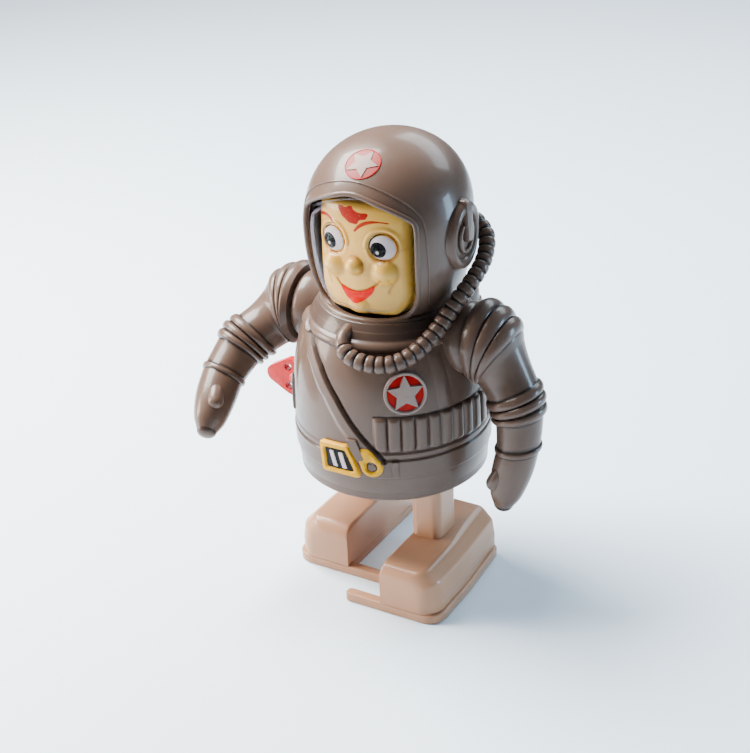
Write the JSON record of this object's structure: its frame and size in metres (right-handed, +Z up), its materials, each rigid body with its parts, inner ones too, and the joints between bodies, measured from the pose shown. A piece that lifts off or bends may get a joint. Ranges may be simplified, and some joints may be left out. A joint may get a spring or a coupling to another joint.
{
  "type": "clockwork walking spaceman toy",
  "caption": "Clockwork walking spaceman figure with a domed helmet, clear visor over a doll face, corrugated air hose, swinging arms, side winding key and crank-driven boots.",
  "frame": {"origin": "on the floor, below the middle of the figure's bounding box", "axes": "+Z up, the figure faces -Y and its own left is +X"},
  "size_m": [0.2, 0.147, 0.28],
  "materials": {
    "suit_plastic": "semi-gloss moulded, warm grey-mauve",
    "boot_plastic": "semi-gloss moulded, tan pink",
    "face_plastic": "semi-gloss moulded with painted features, warm cream yellow",
    "clear_plastic": "clear, glossy",
    "key_plastic": "glossy moulded red",
    "motor_steel": "plated sheet and turned steel",
    "spring_steel": "blued spring strip",
    "wheel_brass": "stamped and turned brass"
  },
  "bodies": {
    "torso": {"torso_front": "suit_plastic", "torso_back": "suit_plastic", "base_plate": "suit_plastic", "base_screws": "motor_steel", "helmet_shell": "suit_plastic", "visor": "clear_plastic", "face_mask": "face_plastic", "ear_cup_left": "suit_plastic", "air_hose": "suit_plastic", "air_pack": "suit_plastic", "motor_plate_left": "motor_steel", "motor_plate_right": "motor_steel", "motor_pillars": "wheel_brass", "motor_screws": "motor_steel", "mainspring": "spring_steel"},
    "arm_left": {"arm_left": "suit_plastic", "shoulder_washer_left": "motor_steel"},
    "arm_right": {"arm_right": "suit_plastic", "shoulder_washer_right": "motor_steel"},
    "key": {"winding_arbor": "motor_steel", "winding_key": "key_plastic"},
    "great_wheel": {"great_wheel": "wheel_brass", "click": "motor_steel"},
    "crankshaft": {"crank_arbor": "motor_steel", "crank_wheel": "wheel_brass", "crank_left": "motor_steel", "crank_right": "motor_steel", "crank_clip_left": "wheel_brass", "crank_clip_right": "wheel_brass"},
    "third": {"third_arbor": "motor_steel", "third_wheel": "wheel_brass"},
    "governor": {"governor_arbor": "motor_steel", "governor_flywheel": "wheel_brass"},
    "leg_left": {"leg_left": "boot_plastic", "boot_left": "boot_plastic", "sole_left": "boot_plastic"},
    "leg_right": {"leg_right": "boot_plastic", "boot_right": "boot_plastic", "sole_right": "boot_plastic"}
  },
  "joints": [
    {"name": "walk_drive", "type": "hinge", "parent": "torso", "child": "crankshaft", "pos_m": [0, -0.00147, 0.096], "axis": [1, 0, 0], "continuous": true},
    {"name": "leg_left_pin", "type": "hinge", "parent": "crankshaft", "child": "leg_left", "pos_m": [0, -0.01377, 0.096], "axis": [1, 0, 0], "continuous": true},
    {"name": "leg_right_pin", "type": "hinge", "parent": "crankshaft", "child": "leg_right", "pos_m": [0, 0.01083, 0.096], "axis": [1, 0, 0], "continuous": true},
    {"name": "great_wheel_spin", "type": "hinge", "parent": "torso", "child": "great_wheel", "pos_m": [0, 0.01953, 0.1075], "axis": [1, 0, 0], "continuous": true},
    {"name": "third_spin", "type": "hinge", "parent": "torso", "child": "third", "pos_m": [0, -0.0066, 0.11009], "axis": [1, 0, 0], "continuous": true},
    {"name": "governor_spin", "type": "hinge", "parent": "torso", "child": "governor", "pos_m": [0, -0.00465, 0.12117], "axis": [1, 0, 0], "continuous": true},
    {"name": "key_wind", "type": "hinge", "parent": "torso", "child": "key", "pos_m": [0, 0.01953, 0.1075], "axis": [1, 0, 0], "continuous": true},
    {"name": "arm_left_swing", "type": "hinge", "parent": "torso", "child": "arm_left", "pos_m": [0.057, 0.01053, 0.166], "axis": [-1, 0, 0], "range_deg": [-60, 170]},
    {"name": "arm_right_swing", "type": "hinge", "parent": "torso", "child": "arm_right", "pos_m": [-0.057, 0.01053, 0.166], "axis": [-1, 0, 0], "range_deg": [-30, 122]}
  ],
  "couplings": [
    {"joint": "leg_left_pin", "follows": "walk_drive", "ratio": -1},
    {"joint": "leg_right_pin", "follows": "walk_drive", "ratio": -1},
    {"joint": "great_wheel_spin", "follows": "walk_drive", "ratio": -0.25},
    {"joint": "third_spin", "follows": "walk_drive", "ratio": -4},
    {"joint": "governor_spin", "follows": "walk_drive", "ratio": 16}
  ]
}
